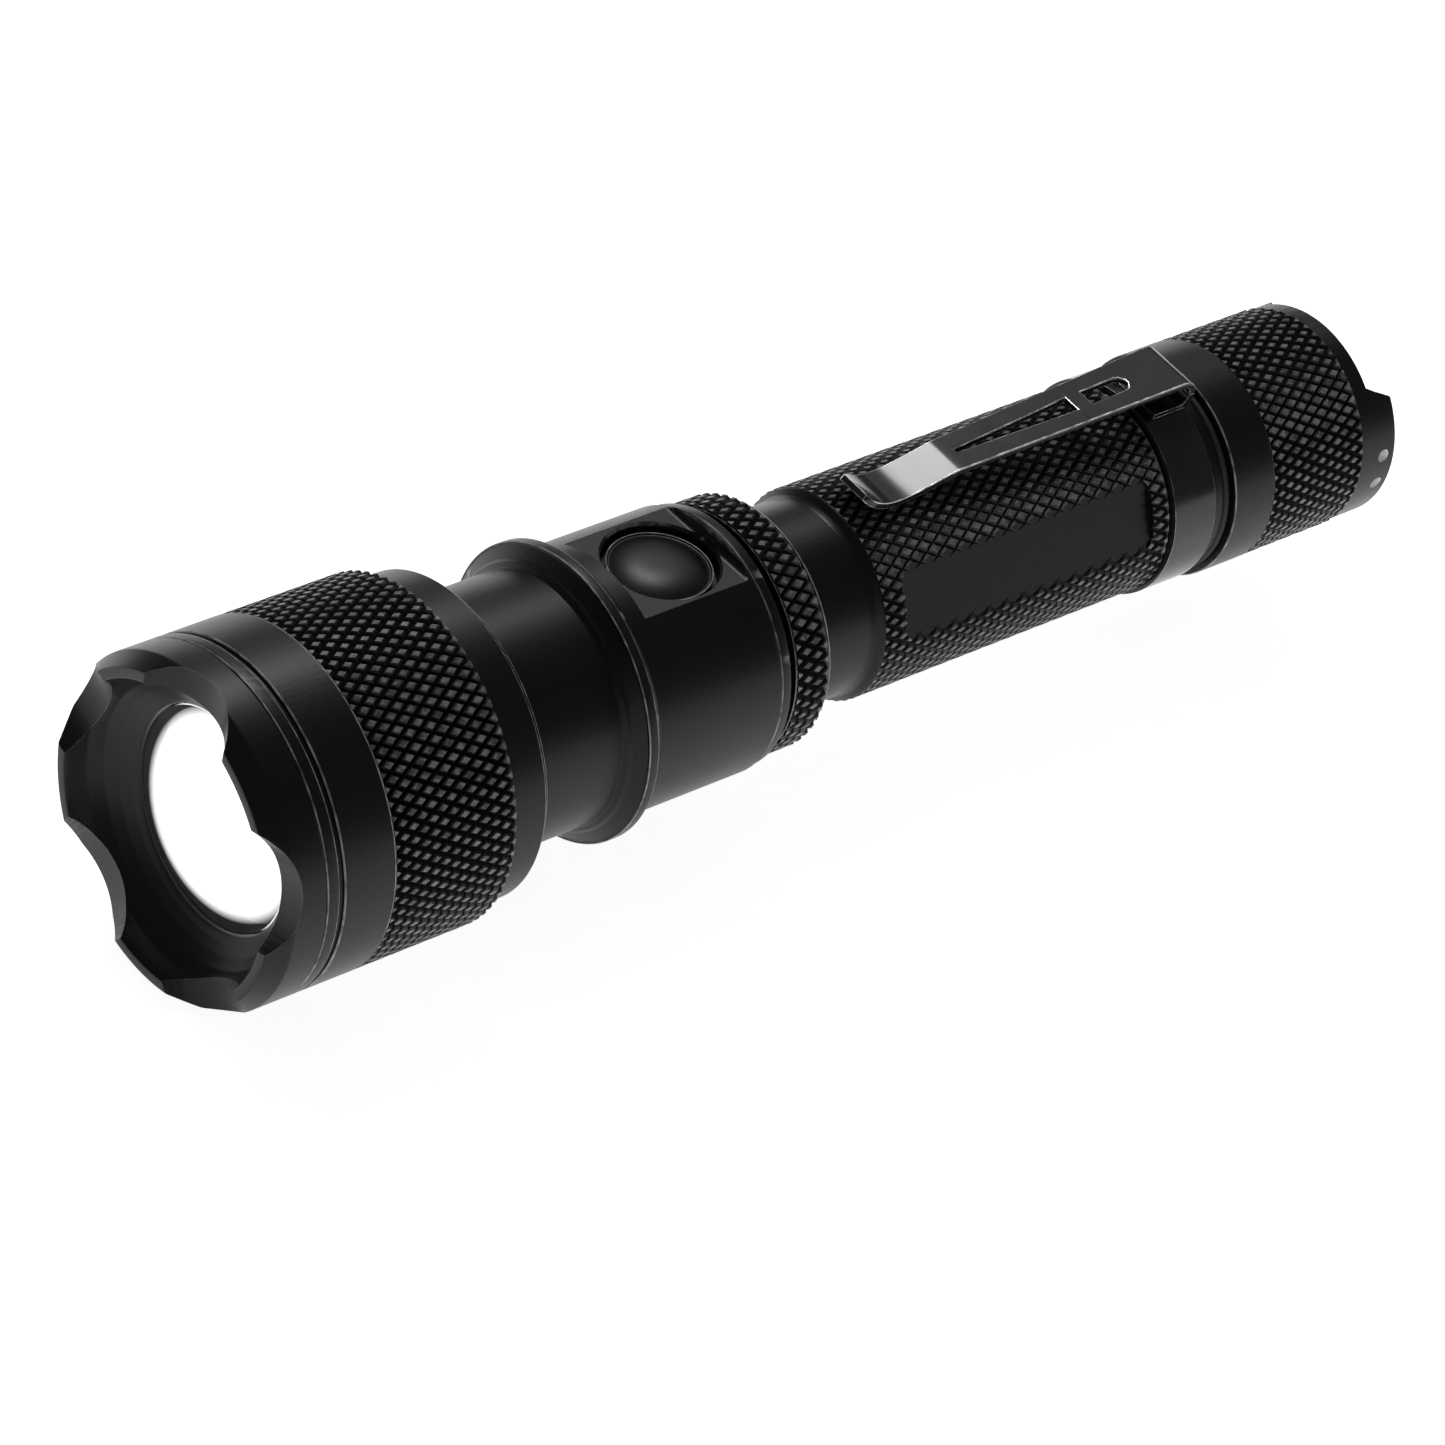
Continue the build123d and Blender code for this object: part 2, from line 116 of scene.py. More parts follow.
def place_turned(across, station, height, turn):
    """A point given by its offset and height beside the axis, turned round the axis."""
    radius = math.hypot(across, height)
    return place(station, radius, turn + math.atan2(across, height))


def even_angles(count=ROUND_STEPS):
    return [2 * math.pi * k / count for k in range(count)]


def soften(outline, size=CORNER):
    """Rounds each inner corner of an open outline with a small arc."""
    result = [outline[0]]
    for before, corner, after in zip(outline, outline[1:], outline[2:]):
        room = min(size, 0.4 * math.dist(before, corner), 0.4 * math.dist(corner, after))
        start = toward(corner, before, room)
        end = toward(corner, after, room)
        for step in range(5):
            sweep = math.pi / 8 * step
            first = 1 - math.sin(sweep)
            second = 1 - math.cos(sweep)
            result.append(tuple(
                c + (a - c) * first + (b - c) * second for a, b, c in zip(start, end, corner)
            ))
    return result + [outline[-1]]


def arc(centre, radius, first, last, steps):
    """Points of an arc, with angles in degrees from the first coordinate's direction."""
    result = []
    for k in range(steps + 1):
        angle = math.radians(first + (last - first) * k / steps)
        result.append((centre[0] + radius * math.cos(angle), centre[1] + radius * math.sin(angle)))
    return result


def toward(point, target, distance):
    share = distance / math.dist(point, target)
    return tuple(p + (t - p) * share for p, t in zip(point, target))


# ---------------------------------------------------------------- mesh building

class Shell:
    """One mesh made of rings round an axis."""

    def __init__(self, angles=None, where=place, shape=None):
        self.angles = angles or even_angles()
        self.where = where
        self.shape = shape
        self.points = []
        self.faces = []

    def point(self, station, radius, angle):
        if self.shape:
            radius = self.shape(station, radius, angle)
        self.points.append(self.where(station, radius, angle))
        return len(self.points) - 1

    def ring(self, station, radius):
        return [self.point(station, radius, angle) for angle in self.angles]

    def bridge(self, first, second):
        count = len(first)
        for k in range(count):
            after = (k + 1) % count
            self.faces.append((first[k], first[after], second[after], second[k]))

    def follow(self, outline, start=None):
        """Adds a ring for each point of an outline and returns the first and last ring."""
        rings = [self.ring(*corner) for corner in outline]
        if start:
            rings.insert(0, start)
        for first, second in zip(rings, rings[1:]):
            self.bridge(first, second)
        return rings[0], rings[-1]


def turned(outline, **settings):
    """A closed solid of revolution from an outline that ends where it starts, or at the axis."""
    shell = Shell(**settings)
    first, last = shell.follow(soften(outline))
    if outline[0][1] > 0:
        shell.bridge(last, first)
    return shell


def knurl_angles(count, shift=0):
    """The angles of a knurl's edge: a groove and four points of a diamond, again and again."""
    steps = (-1, -KNURL_SHOULDER, -KNURL_TOP, KNURL_TOP, KNURL_SHOULDER)
    half = math.pi / count
    return [half * (2 * k + 1 + shift + step) for k in range(count) for step in steps]


class Knurl:
    """A band of flat-topped diamonds between two crossing sets of grooves."""

    LEVELS = (1, KNURL_SHOULDER, KNURL_TOP)

    def __init__(self, shell, stations, rows, count, peak, depth):
        self.shell = shell
        self.stations = stations
        self.rows = rows
        self.count = count
        self.radii = (peak - depth, peak - KNURL_SHOULDER_DROP, peak)
        self.made = {}

    def vertex(self, across, along, level):
        across %= 2 * self.count
        key = (round(across, 4), round(along, 4))
        if key not in self.made:
            first, last = self.stations
            station = first + (last - first) * along / self.rows
            angle = math.pi / self.count * across
            self.made[key] = self.shell.point(station, self.radii[level], angle)
        return self.made[key]

    def diamond(self, across, along):
        """One diamond; at an edge of the band it is cut in half."""
        sides = [(-1, 0), (0, 1), (1, 0), (0, -1)]
        sides = [side for side in sides if 0 <= along + side[1] <= self.rows]
        if along == self.rows:
            sides = sides[1:] + sides[:1]
        rims = [
            [self.vertex(across + a * size, along + b * size, level) for a, b in sides]
            for level, size in enumerate(self.LEVELS)
        ]
        self.shell.faces.append(tuple(rims[-1]))
        steps = len(sides) if len(sides) == 4 else len(sides) - 1
        for lower, upper in zip(rims, rims[1:]):
            for k in range(steps):
                after = (k + 1) % len(sides)
                self.shell.faces.append((lower[k], lower[after], upper[after], upper[k]))

    def edge(self, along):
        """The vertices round the band at its first or last row."""
        offset = 1 + along % 2
        steps = (
            (-1, 0),
            (-KNURL_SHOULDER, 1),
            (-KNURL_TOP, 2),
            (KNURL_TOP, 2),
            (KNURL_SHOULDER, 1),
        )
        return [
            self.vertex(2 * k + offset + step, along, level)
            for k in range(self.count)
            for step, level in steps
        ]

    def build(self, start):
        """Bridges from a ring to the band, makes the diamonds and returns the last edge."""
        for along in range(self.rows + 1):
            for k in range(self.count):
                self.diamond(2 * k + 1 + along % 2, along)
        self.shell.bridge(start, self.edge(0))
        self.shell.angles = knurl_angles(self.count, self.rows % 2)
        return self.edge(self.rows)


def knurled(before, after, stations, rows, count, peak, depth):
    """A closed turned body with a knurled band between two parts of its outline."""
    shell = Shell(angles=knurl_angles(count))
    first, start = shell.follow(soften(before))
    end = Knurl(shell, stations, rows, count, peak, depth).build(start)
    last = shell.follow(soften(after), start=end)[1]
    shell.bridge(last, first)
    return shell


def mesh_object(name, points, faces):
    mesh = bpy.data.meshes.new(name)
    mesh.from_pydata(points, [], faces)
    work = bmesh.new()
    work.from_mesh(mesh)
    bmesh.ops.remove_doubles(work, verts=work.verts, dist=1e-7)
    bmesh.ops.recalc_face_normals(work, faces=work.faces)
    work.to_mesh(mesh)
    work.free()
    made = bpy.data.objects.new(name, mesh)
    bpy.context.scene.collection.objects.link(made)
    return made


def from_shell(name, shell):
    return mesh_object(name, shell.points, shell.faces)


def prism(name, corners, low, high, turn=0.0):
    """A straight prism over (across, station) corners, between two heights."""
    count = len(corners)
    points = [
        place_turned(across, station, height, turn)
        for height in (low, high)
        for across, station in corners
    ]
    faces = [tuple(range(count)), tuple(range(count, 2 * count))]
    for k in range(count):
        after = (k + 1) % count
        faces.append((k, after, count + after, count + k))
    return mesh_object(name, points, faces)


def rod(name, centre, direction, radius, length, sides=96):
    """A closed cylinder for cutting."""
    work = bmesh.new()
    bmesh.ops.create_cone(
        work, cap_ends=True, segments=sides,
        radius1=radius * MM, radius2=radius * MM, depth=length * MM,
    )
    turn = Vector((0, 0, 1)).rotation_difference(direction).to_matrix().to_4x4()
    bmesh.ops.transform(work, matrix=Matrix.Translation(centre) @ turn, verts=work.verts)
    mesh = bpy.data.meshes.new(name)
    work.to_mesh(mesh)
    work.free()
    made = bpy.data.objects.new(name, mesh)
    bpy.context.scene.collection.objects.link(made)
    return made


def apply_modifiers(made):
    """Replaces an object's mesh by what its modifiers make of it."""
    bpy.context.view_layer.update()
    evaluated = made.evaluated_get(bpy.context.evaluated_depsgraph_get())
    mesh = bpy.data.meshes.new_from_object(evaluated)
    made.modifiers.clear()
    made.data = mesh


def combine(made, tools, operation="DIFFERENCE"):
    """Cuts the tools out of an object, or joins them to it, and removes them."""
    for tool in tools:
        modifier = made.modifiers.new("combine", "BOOLEAN")
        modifier.object = tool
        modifier.operation = operation
        modifier.solver = "EXACT"
        apply_modifiers(made)
        bpy.data.objects.remove(tool)
    return made


def ease_edges(made, width, applies=lambda point: True, bend=35):
    """Bevels the sharp edges whose middle passes a test, with the second material, the bright edge
    one with its painted highlight, on them.
    """
    work = bmesh.new()
    work.from_mesh(made.data)
    bmesh.ops.remove_doubles(work, verts=work.verts, dist=1e-6)
    bmesh.ops.dissolve_degenerate(work, edges=work.edges, dist=1e-6)
    edges = [
        edge for edge in work.edges
        if len(edge.link_faces) == 2
        and edge.calc_face_angle(0) > math.radians(bend)
        and applies((edge.verts[0].co + edge.verts[1].co) / 2)
    ]
    bmesh.ops.bevel(
        work, geom=edges, offset=width * MM, segments=2, profile=0.5,
        affect="EDGES", clamp_overlap=True, material=1,
    )
    work.to_mesh(made.data)
    work.free()
    return made


def show(made, node, edge_highlight_finish=None, sharp_bend=25):
    """Shades a piece, puts it on the body of the CAD node it stands for and gives it its finish."""
    mesh = made.data
    mesh.polygons.foreach_set("use_smooth", [True] * len(mesh.polygons))
    mesh.set_sharp_from_angle(angle=math.radians(sharp_bend))
    weighted = made.modifiers.new("even shading", "WEIGHTED_NORMAL")
    weighted.keep_sharp = True
    weighted.weight = 80
    mesh.materials.append(FINISHES[SLOT_OF[node]])
    if edge_highlight_finish:
        mesh.materials.append(FINISHES[edge_highlight_finish])
    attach(made, BODY_OF[node])
    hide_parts(node)
    return made


def refinish(made, finish, applies):
    """Gives the faces that pass a test, and aren't on the bright edges with their painted
    highlight, a finish of their own.
    """
    made.data.materials.append(FINISHES[finish])
    last = len(made.data.materials) - 1
    for face in made.data.polygons:
        if face.material_index == 0 and applies(face):
            face.material_index = last


def highlight_rims_and_scuffs(made, *rims):
    """Brightens the rounded corners at the given stations and radii: a painted highlight along each
    rim, with scuffs.
    """
    def on_rim(face):
        station = (face.center.y - TIP) / MM
        radius = math.hypot(face.center.x, face.center.z - AXIS_HEIGHT) / MM
        return any(math.dist((station, radius), rim) < 0.13 for rim in rims)
    refinish(made, "anodised_edge_scuffs_and_highlight", on_rim)


def smooth_outside(made, *knurls):
    """Keeps the main finish's bright edges, scuffs with a painted highlight, to the knurled bands,
    given by their first and last stations.
    """
    bands = [(TIP + first * MM, TIP + last * MM) for first, last in knurls]
    refinish(made, "black_anodised_milled", lambda face: not any(
        first < face.center.y < last for first, last in bands
    ))


# ---------------------------------------------------------------- materials

class Finish:
    """A procedural material, put together node by node."""

    def __init__(self, name, settings):
        self.material = bpy.data.materials.new(name)
        self.material.use_nodes = True
        self.tree = self.material.node_tree
        self.shader = self.tree.nodes["Principled BSDF"]
        for socket, value in settings.items():
            self.shader.inputs[socket].default_value = value
        self.coordinates = self.add("ShaderNodeTexCoord").outputs["Object"]

    def add(self, kind, inputs=None, **settings):
        node = self.tree.nodes.new(kind)
        for name, value in settings.items():
            setattr(node, name, value)
        for name, value in (inputs or {}).items():
            self.feed(node.inputs[name], value)
        return node

    def feed(self, socket, value):
        if isinstance(value, bpy.types.NodeSocket):
            self.tree.links.new(value, socket)
        else:
            socket.default_value = value

    def use(self, socket, value):
        self.feed(self.shader.inputs[socket], value)

    def noise(self, scale, detail=3.0):
        inputs = {"Vector": self.coordinates, "Scale": scale, "Detail": detail}
        return self.add("ShaderNodeTexNoise", inputs).outputs["Fac"]

    def span(self, value, low, high, start=0.0, end=1.0):
        inputs = {"Value": value, "From Min": start, "From Max": end, "To Min": low, "To Max": high}
        return self.add("ShaderNodeMapRange", inputs).outputs["Result"]

    def math(self, operation, first, second=0.0):
        node = self.add("ShaderNodeMath", operation=operation)
        self.feed(node.inputs[0], first)
        self.feed(node.inputs[1], second)
        return node.outputs[0]

    def blend(self, factor, low, high):
        """A colour between two others."""
        ramp = self.add("ShaderNodeValToRGB", {"Fac": factor})
        ramp.color_ramp.elements[0].color = (*low, 1)
        ramp.color_ramp.elements[1].color = (*high, 1)
        return ramp.outputs["Color"]

    def edges(self, start, end):
        """1 on sharp outer edges and 0 elsewhere, where scuffs and a painted highlight go."""
        pointiness = self.add("ShaderNodeNewGeometry").outputs["Pointiness"]
        return self.span(pointiness, 0.0, 1.0, start, end)

    def distances(self):
        """The place along the light's axis and the distance from it."""
        apart = self.add("ShaderNodeSeparateXYZ", {"Vector": self.coordinates}).outputs
        up = self.math("SUBTRACT", apart["Z"], AXIS_HEIGHT)
        squares = self.math("ADD", self.math("MULTIPLY", apart["X"], apart["X"]),
                            self.math("MULTIPLY", up, up))
        return apart["Y"], self.math("SQRT", squares)

    def turning_lines(self, scale):
        """Fine lines that a lathe leaves round the axis, on the sides and on the faces."""
        along, radius = self.distances()
        reach = self.math("MULTIPLY", self.math("ADD", along, radius), scale)
        node = self.add("ShaderNodeTexNoise", {"W": reach, "Scale": 1.0, "Detail": 2.0},
                        noise_dimensions="1D")
        return node.outputs["Fac"]

    def bump(self, height, distance, strength=1.0, under=None):
        node = self.add("ShaderNodeBump", {"Height": height, "Distance": distance * MM,
                                           "Strength": strength})
        if under:
            self.feed(node.inputs["Normal"], under)
        return node.outputs["Normal"]


def anodised(name, edge_scuffs_and_highlight=0.9):
    """Satin black hard-anodised aluminium, a little brighter on sharp edges: scuffs there, and a
    painted highlight.
    """
    finish = Finish(name, {"Metallic": 0.0, "IOR": 1.32})
    patches = finish.noise(45, 4)
    grain = finish.noise(5200, 2)
    plain = finish.blend(patches, (0.003, 0.003, 0.0033), (0.005, 0.005, 0.0054))
    # Painted highlight with scuffs: sharp edges, found by pointiness and broken up by noise, are
    # mixed toward a light grey base colour.
    scuffed_and_highlit = finish.math("MULTIPLY", finish.edges(0.52, 0.6),
                       finish.span(finish.noise(900), 0.3, 1.0, 0.4, 0.6))
    colour = finish.add("ShaderNodeMix", data_type="RGBA")
    finish.feed(colour.inputs[0], finish.math("MULTIPLY", scuffed_and_highlit, edge_scuffs_and_highlight))
    finish.feed(colour.inputs[6], plain)
    colour.inputs[7].default_value = (0.3, 0.3, 0.31, 1)
    finish.use("Base Color", colour.outputs[2])
    finish.use("Roughness", finish.span(finish.math("ADD", patches, grain), 0.3, 0.42, 0.7, 1.3))
    lines = finish.bump(finish.turning_lines(9000), 0.004)
    finish.use("Normal", finish.bump(grain, 0.006, under=lines))
    return finish.material


def bare_metal_and_painted_light(name, low, high, roughness, metallic=0.2):
    """A bright finish: metal showing through the black in places, made brighter as a painted
    highlight on edges and rims; near-white, it paints the backdrop seen through the lanyard holes.
    """
    finish = Finish(name, {"Metallic": metallic})
    scuffs_and_highlight = finish.span(finish.noise(700, 4), 0.0, 1.0, 0.35, 0.65)
    finish.use("Base Color", finish.blend(scuffs_and_highlight, low, high))
    finish.use("Roughness", finish.span(scuffs_and_highlight, roughness, roughness + 0.15))
    finish.use("Normal", finish.bump(finish.noise(2600), 0.004))
    return finish.material


def bare_aluminium(name):
    """Turned aluminium inside the light."""
    finish = Finish(name, {"Metallic": 1.0})
    finish.use("Base Color", finish.blend(finish.noise(120), (0.6, 0.6, 0.61), (0.75, 0.75, 0.76)))
    lines = finish.turning_lines(7000)
    finish.use("Roughness", finish.span(lines, 0.22, 0.4))
    finish.use("Normal", finish.bump(lines, 0.01))
    return finish.material


def rubber(name):
    """Black moulded rubber with a fine grain and a little dust."""
    finish = Finish(name, {"IOR": 1.5})
    dust = finish.noise(260, 4)
    finish.use("Base Color", finish.blend(dust, (0.009, 0.009, 0.009), (0.022, 0.022, 0.021)))
    finish.use("Roughness", finish.span(dust, 0.55, 0.8))
    finish.use("Normal", finish.bump(finish.noise(3600), 0.012))
    return finish.material


def plastic(name, low, high, roughness=0.45):
    """Moulded plastic with a slight surface texture."""
    finish = Finish(name, {"IOR": 1.46})
    mottle = finish.noise(300, 4)
    finish.use("Base Color", finish.blend(mottle, low, high))
    finish.use("Roughness", finish.span(mottle, roughness - 0.08, roughness + 0.12))
    finish.use("Normal", finish.bump(finish.noise(2800), 0.006))
    return finish.material


def clip_steel(name):
    """Spring steel with a smooth, glossy black plating."""
    finish = Finish(name, {"Metallic": 0.08, "IOR": 1.45})
    smears = finish.noise(220, 5)
    finish.use("Base Color", finish.blend(smears, (0.008, 0.008, 0.0085), (0.018, 0.018, 0.019)))
    finish.use("Roughness", finish.span(smears, 0.12, 0.24))
    finish.use("Normal", finish.bump(finish.noise(1500), 0.002))
    return finish.material


def metal(name, low, high, roughness):
    """Plain drawn or turned metal: springs, brass and the cell's can."""
    finish = Finish(name, {"Metallic": 1.0})
    tone = finish.noise(500, 4)
    finish.use("Base Color", finish.blend(tone, low, high))
    finish.use("Roughness", finish.span(tone, roughness - 0.06, roughness + 0.1))
    finish.use("Normal", finish.bump(finish.noise(2400), 0.004))
    return finish.material


def circuit_board(name):
    """Green solder mask over faint copper tracks."""
    finish = Finish(name, {"IOR": 1.5})
    tracks = finish.add("ShaderNodeTexBrick", {
        "Vector": finish.coordinates, "Scale": 900.0, "Mortar Size": 0.03,
    }).outputs["Fac"]
    finish.use("Base Color", finish.blend(tracks, (0.012, 0.085, 0.03), (0.03, 0.17, 0.06)))
    finish.use("Roughness", finish.span(finish.noise(700), 0.25, 0.4))
    finish.use("Normal", finish.bump(tracks, 0.02))
    return finish.material


def clear_glass(name):
    """The lens: clean glass with the faintest wipe marks."""
    finish = Finish(name, {"Transmission Weight": 1.0, "IOR": 1.5})
    marks = finish.noise(160, 5)
    finish.use("Base Color", finish.blend(marks, (0.96, 0.97, 0.97), (1, 1, 1)))
    finish.use("Roughness", finish.span(marks, 0.0, 0.03, 0.5, 0.8))
    return finish.material


def lit_glass(name):
    """The lens's flat back, painted to glow: emission and a near-white base colour in a disc round
    the axis, standing in for the LED's light.
    """
    finish = Finish(name, {"Emission Strength": 1.1, "Roughness": 0.6})
    radius = finish.distances()[1]
    # Painted glow: bright in the middle and fading to dark at the disc's rim.
    glow = finish.span(radius, 1.0, 0.0, 0.0094, 0.0107)
    even = finish.math("MULTIPLY", glow, finish.span(finish.noise(60), 0.97, 1.0))
    finish.use("Emission Color", finish.blend(even, (0, 0, 0), (1, 1, 1)))
    finish.use("Base Color", finish.blend(even, (0.01, 0.01, 0.01), (0.9, 0.9, 0.88)))
    return finish.material


def white_print(name):
    """Thin white screen print with a slightly uneven film."""
    finish = Finish(name, {"IOR": 1.45})
    film = finish.noise(1400, 4)
    finish.use("Base Color", finish.blend(film, (0.72, 0.72, 0.72), (0.86, 0.86, 0.86)))
    finish.use("Roughness", finish.span(film, 0.45, 0.65))
    finish.use("Normal", finish.bump(film, 0.003))
    return finish.material


def floor_paper(name):
    """Matt white studio paper."""
    finish = Finish(name, {"Roughness": 0.9, "Emission Strength": 0.92, "Specular IOR Level": 0.0})
    fibres = finish.noise(400, 5)
    finish.use("Emission Color", finish.blend(fibres, (0.98, 0.98, 0.98), (1, 1, 1)))
    finish.use("Base Color", finish.blend(fibres, (0.93, 0.93, 0.93), (0.95, 0.95, 0.95)))
    finish.use("Normal", finish.bump(fibres, 0.01, 0.2))
    return finish.material


def make_finishes():
    FINISHES.update({
        "black_anodised": anodised("black_anodised"),
        "black_anodised_milled": anodised("black_anodised_milled", 0.0),
        # Bright finishes with painted light: painted highlights with scuffs on edges and rims, and
        # the near-white hole walls that paint the backdrop seen through them.
        "anodised_edge_scuffs_and_highlight": bare_metal_and_painted_light("anodised_edge_scuffs_and_highlight", (0.08, 0.08, 0.08), (0.35, 0.35, 0.35), 0.35),
        "clip_edge_scuffs_and_highlight": bare_metal_and_painted_light("clip_edge_scuffs_and_highlight", (0.2, 0.2, 0.2), (0.8, 0.8, 0.8), 0.15, 0.7),
        "drilled_wall_painted_backdrop": bare_metal_and_painted_light("drilled_wall_painted_backdrop", (0.8, 0.8, 0.8), (0.95, 0.95, 0.95), 0.5),
        "bare_aluminium": bare_aluminium("bare_aluminium"),
        "lens_glass": clear_glass("lens_glass"),
        "black_rubber": rubber("black_rubber"),
        "bush_plastic": plastic("bush_plastic", (0.68, 0.68, 0.63), (0.78, 0.78, 0.74)),
        "black_plastic": plastic("black_plastic", (0.012, 0.012, 0.012), (0.025, 0.025, 0.025)),
        "clip_steel": clip_steel("clip_steel"),
        "brass_ring": metal("brass_ring", (0.6, 0.42, 0.16), (0.74, 0.56, 0.26), 0.3),
        "spring_steel": metal("spring_steel", (0.6, 0.5, 0.3), (0.72, 0.62, 0.4), 0.22),
        "circuit_board": circuit_board("circuit_board"),
        "led_board_metal": plastic("led_board_metal", (0.78, 0.78, 0.76), (0.86, 0.86, 0.84)),
        "led_phosphor": plastic("led_phosphor", (0.8, 0.62, 0.08), (0.9, 0.74, 0.16), 0.2),
        "red_wire": plastic("red_wire", (0.42, 0.02, 0.015), (0.55, 0.04, 0.03)),
        "black_wire": plastic("black_wire", (0.015, 0.015, 0.015), (0.03, 0.03, 0.03)),
        "cell_can": metal("cell_can", (0.62, 0.62, 0.62), (0.72, 0.72, 0.72), 0.25),
        "cell_wrap": plastic("cell_wrap", (0.03, 0.16, 0.2), (0.05, 0.22, 0.26), 0.25),
    })


# ---------------------------------------------------------------- head

def scallop_rods():
    """Five round cutters lie across the bezel's rim."""
    reach = 9.1
    depth = 3.25
    for number in range(5):
        angle = math.radians(1.1 + 72 * number)
        centre = place(depth - reach, 20, angle)
        yield rod("scallop", centre, place(0, 1, angle) - place(0, 0, angle), reach, 20, 160)


def make_bezel():
    shell = turned([
        (0.6, 17.27),
        (0, 17.45),
        (0, 18.7),
        (2.3, HEAD_RADIUS),
        (6.35, HEAD_RADIUS),
        (6.35, 17.4),
        (14.4, 17.4),
        (14.4, 14.7),
        (7.4, 14.7),
        (7.4, 12.8),
        (6.4, 12.8),
        (5.9, 13.7),
        (5.1, 14.8),
        (4.0, 15.9),
        (2.4, 16.8),
        (0.6, 17.27),
    ])
    bezel = combine(from_shell("strike_bezel", shell), scallop_rods())
    first_station = TIP + 4 * MM
    ease_edges(bezel, 0.2, lambda point: point.y < first_station, 24)
    show(bezel, "bezel", "anodised_edge_scuffs_and_highlight")
    bezel.data.materials[0] = FINISHES["black_anodised_milled"]


def make_lens():
    """A plano-convex lens with a lit back."""
    edge_radius = 12.6
    apex = 3.0
    rise = 3.6
    steps = 24
    dome = []
    for k in range(steps + 1):
        share = math.sin(math.pi / 2 * k / steps)
        dome.append((apex + rise * share**2, edge_radius * share))
    shell = Shell()
    shell.follow(dome + soften([
        (apex + rise, edge_radius),
        (8.5, edge_radius),
        (8.5, 14.55),
        (10.8, 14.55),
        (10.8, 0),
    ], 0.1))
    lens = show(from_shell("convex_lens", shell), "lens")
    lens.data.materials.append(lit_glass("lit_glass"))
    # The back faces get the painted glow.
    back = TIP + 10.79 * MM
    for face in lens.data.polygons:
        if face.center.y > back:
            face.material_index = 1


def make_head_shell():
    before = [
        (20, 17.5),
        (6.45, 17.5),
        (6.45, HEAD_RADIUS),
        (8.0, HEAD_RADIUS),
        (8.1, HEAD_RADIUS - 0.45),
        (8.6, HEAD_RADIUS - 0.45),
        (8.7, HEAD_RADIUS),
        (15.25, HEAD_RADIUS),
        (15.4, HEAD_RADIUS - 0.08),
    ]
    after = [
        (31.3, 19.5),
        (31.7, 18.6),
        (36.35, 18.6),
        (36.35, 17.5),
        (20, 17.5),
    ]
    shell = knurled(before, after, HEAD_KNURL, 12, 80, HEAD_RADIUS - 0.01, 0.55)
    head = show(from_shell("head_shell_knurled", shell), "head_shell")
    band_edges = [(station, HEAD_RADIUS) for station in (6.45, 8.0, 8.7, 15.25)]
    highlight_rims_and_scuffs(head, *band_edges, (31.7, 18.6), (36.35, 18.6))
    smooth_outside(head, HEAD_KNURL)


def make_rear_ring():
    shell = turned([
        (35, 15.55),
        (33.5, 15.55),
        (33.5, 17.45),
        (36.4, 17.45),
        (36.4, 17.9),
        (37.1, 17.9),
        (37.1, 14.8),
        (36.6, 14.8),
        (36.6, 15.55),
        (35, 15.55),
    ])
    ring = show(from_shell("rear_lip_ring", shell), "head_rear_ring")
    highlight_rims_and_scuffs(ring, (37.1, 17.9))


def make_zoom_arrow(side):
    """A white arrow printed on the smooth band, which points round the head."""
    middle = math.radians(-90)
    tail, neck, tip = 2.2, 6.6, 10.6
    steps = 16
    rows = []
    for k in range(2 * steps + 1):
        along = tail + (tip - tail) * k / (2 * steps)
        half = 0.75 if along <= neck else 1.9 * (tip - along) / (tip - neck) + 0.02
        rows.append((along, half))
    points = []
    for radius in (HEAD_RADIUS - 0.05, HEAD_RADIUS + 0.015):
        for along, half in rows:
            angle = middle + side * along / HEAD_RADIUS
            points += [place(12.0 - half, radius, angle), place(12.0 + half, radius, angle)]
    faces = []
    level = 2 * len(rows)
    for k in range(len(rows) - 1):
        a = 2 * k
        for low in (0, level):
            faces.append((low + a, low + a + 1, low + a + 3, low + a + 2))
        faces.append((a, a + 2, level + a + 2, level + a))
        faces.append((a + 1, a + 3, level + a + 3, level + a + 1))
    faces.append((0, 1, level + 1, level))
    faces.append((level - 2, level - 1, 2 * level - 1, 2 * level - 2))
    arrow = mesh_object("zoom_arrow_" + ("in" if side > 0 else "out"), points, faces)
    arrow.data.materials.append(FINISHES.setdefault("white_print", white_print("white_print")))
    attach(arrow, "head")


# ---------------------------------------------------------------- switch housing

def flat_height(station):
    """The switch flat, which a round-nosed cutter leaves with a fillet at its rear end."""
    start = FLAT_STATIONS[1] - 0.3 - FLAT_FILLET
    into_fillet = min(FLAT_FILLET, max(0, station - start))
    return FLAT_HEIGHT + FLAT_FILLET - math.sqrt(FLAT_FILLET**2 - into_fillet**2)


def flattened(station, radius, angle):
    """Lowers a ring to the switch flat where it stands above it."""
    first, last = FLAT_STATIONS
    if first <= station <= last - 0.3 and radius * math.cos(angle) > flat_height(station):
        return flat_height(station) / math.cos(angle)
    return radius


def on_flat(point):
    """Whether a point is on the switch flat or on its edges."""
    first = TIP + (FLAT_STATIONS[0] - 0.3) * MM
    last = TIP + (FLAT_STATIONS[1] - 0.6) * MM
    return point.z > AXIS_HEIGHT + (FLAT_HEIGHT - 0.05) * MM and first < point.y < last


